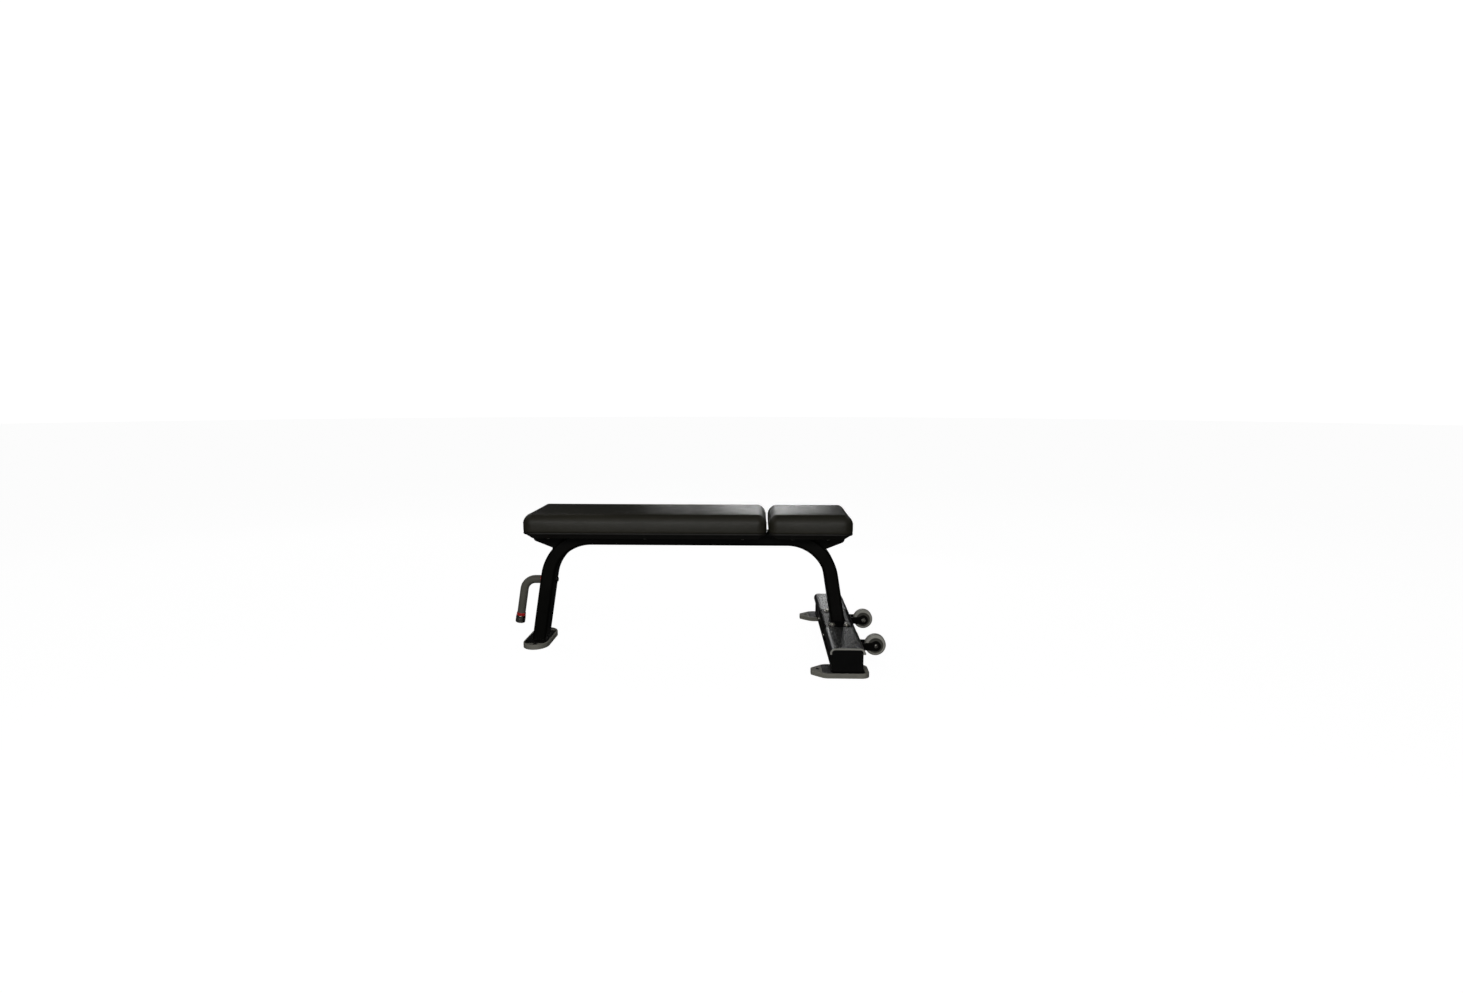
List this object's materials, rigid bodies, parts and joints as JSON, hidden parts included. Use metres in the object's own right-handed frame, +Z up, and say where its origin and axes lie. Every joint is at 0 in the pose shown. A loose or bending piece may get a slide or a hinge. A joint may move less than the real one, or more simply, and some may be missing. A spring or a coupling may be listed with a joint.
{
  "type": "flat weight bench",
  "caption": "Flat weight bench with two pads on a bent steel frame, a rear crossbar with transport wheels, a front foot and a carrying handle.",
  "frame": {"origin": "on the floor, under the middle of the box that holds the whole bench", "axes": "+X along the bench from the handle end to the wheel end, +Y to the bench's right seen from the wheel end, +Z up"},
  "size_m": [1.2073, 0.725, 0.445],
  "materials": {
    "pad_vinyl": "satin grained upholstery vinyl over foam",
    "plywood": "raw plywood",
    "moulded_pan": "fine moulded texture, satin",
    "black_plastic": "matt moulded",
    "cover_aluminium": "dark anodised, brushed lengthwise",
    "grey_rubber": "matt moulded rubber",
    "wheel_tyre": "matt cast rubber",
    "wheel_hub": "moulded",
    "bush_plastic": "natural nylon",
    "grip_rubber": "smooth matt",
    "red_collar": "bright red anodised",
    "polished_cap": "polished",
    "saddle_steel": "smooth satin paint",
    "zinc_fasteners": "bright zinc plate",
    "blackened_steel": "oil-blackened steel, satin",
    "frame_steel": "fine textured powder coat"
  },
  "bodies": {
    "root": {"axle_bolt_left": "zinc_fasteners", "axle_bolt_right": "zinc_fasteners", "axle_nut_left": "zinc_fasteners", "axle_nut_right": "zinc_fasteners", "axle_spacers_left": "zinc_fasteners", "axle_spacers_right": "zinc_fasteners", "crossbar_end_cap_left": "black_plastic", "crossbar_end_cap_right": "black_plastic", "crossbar_tube": "frame_steel", "front_foot_boot": "grey_rubber", "front_foot_eyelets": "blackened_steel", "front_foot_plate": "frame_steel", "front_gusset": "frame_steel", "grip_cover_left": "cover_aluminium", "grip_cover_right": "cover_aluminium", "handle_bolt": "blackened_steel", "handle_collar_lower": "red_collar", "handle_collar_upper": "red_collar", "handle_end_cap": "polished_cap", "handle_grip": "grip_rubber", "handle_insert": "zinc_fasteners", "handle_tube": "zinc_fasteners", "handle_washer": "blackened_steel", "long_pad_board": "plywood", "long_pad_bolts": "zinc_fasteners", "long_pad_bracket_1": "frame_steel", "long_pad_bracket_2": "frame_steel", "long_pad_bracket_3": "frame_steel", "long_pad_cushion": "pad_vinyl", "long_pad_pan": "moulded_pan", "long_pad_tee_nuts": "zinc_fasteners", "main_frame_tube": "frame_steel", "rear_foot_boot_left": "grey_rubber", "rear_foot_boot_right": "grey_rubber", "rear_foot_eyelets": "blackened_steel", "rear_foot_plate_left": "frame_steel", "rear_foot_plate_right": "frame_steel", "rear_gusset": "frame_steel", "saddle_bolts": "zinc_fasteners", "saddle_bracket": "saddle_steel", "saddle_rivet_nuts": "zinc_fasteners", "saddle_side_screws": "zinc_fasteners", "saddle_washers": "zinc_fasteners", "short_pad_board": "plywood", "short_pad_bolts": "zinc_fasteners", "short_pad_bracket_1": "frame_steel", "short_pad_bracket_2": "frame_steel", "short_pad_cushion": "pad_vinyl", "short_pad_pan": "moulded_pan", "short_pad_tee_nuts": "zinc_fasteners", "wheel_fork_left": "frame_steel", "wheel_fork_right": "frame_steel", "wheel_fork_screws_left": "blackened_steel", "wheel_fork_screws_right": "blackened_steel"},
    "left_wheel": {"wheel_bushes_left": "bush_plastic", "wheel_hub_left": "wheel_hub", "wheel_tyre_left": "wheel_tyre"},
    "right_wheel": {"wheel_bushes_right": "bush_plastic", "wheel_hub_right": "wheel_hub", "wheel_tyre_right": "wheel_tyre"}
  },
  "joints": [
    {"name": "left_wheel_spin", "type": "hinge", "parent": "root", "child": "left_wheel", "pos_m": [0.571, -0.156, 0.0425], "axis": [0, 1, 0], "continuous": true},
    {"name": "right_wheel_spin", "type": "hinge", "parent": "root", "child": "right_wheel", "pos_m": [0.571, 0.156, 0.0425], "axis": [0, 1, 0], "continuous": true}
  ]
}
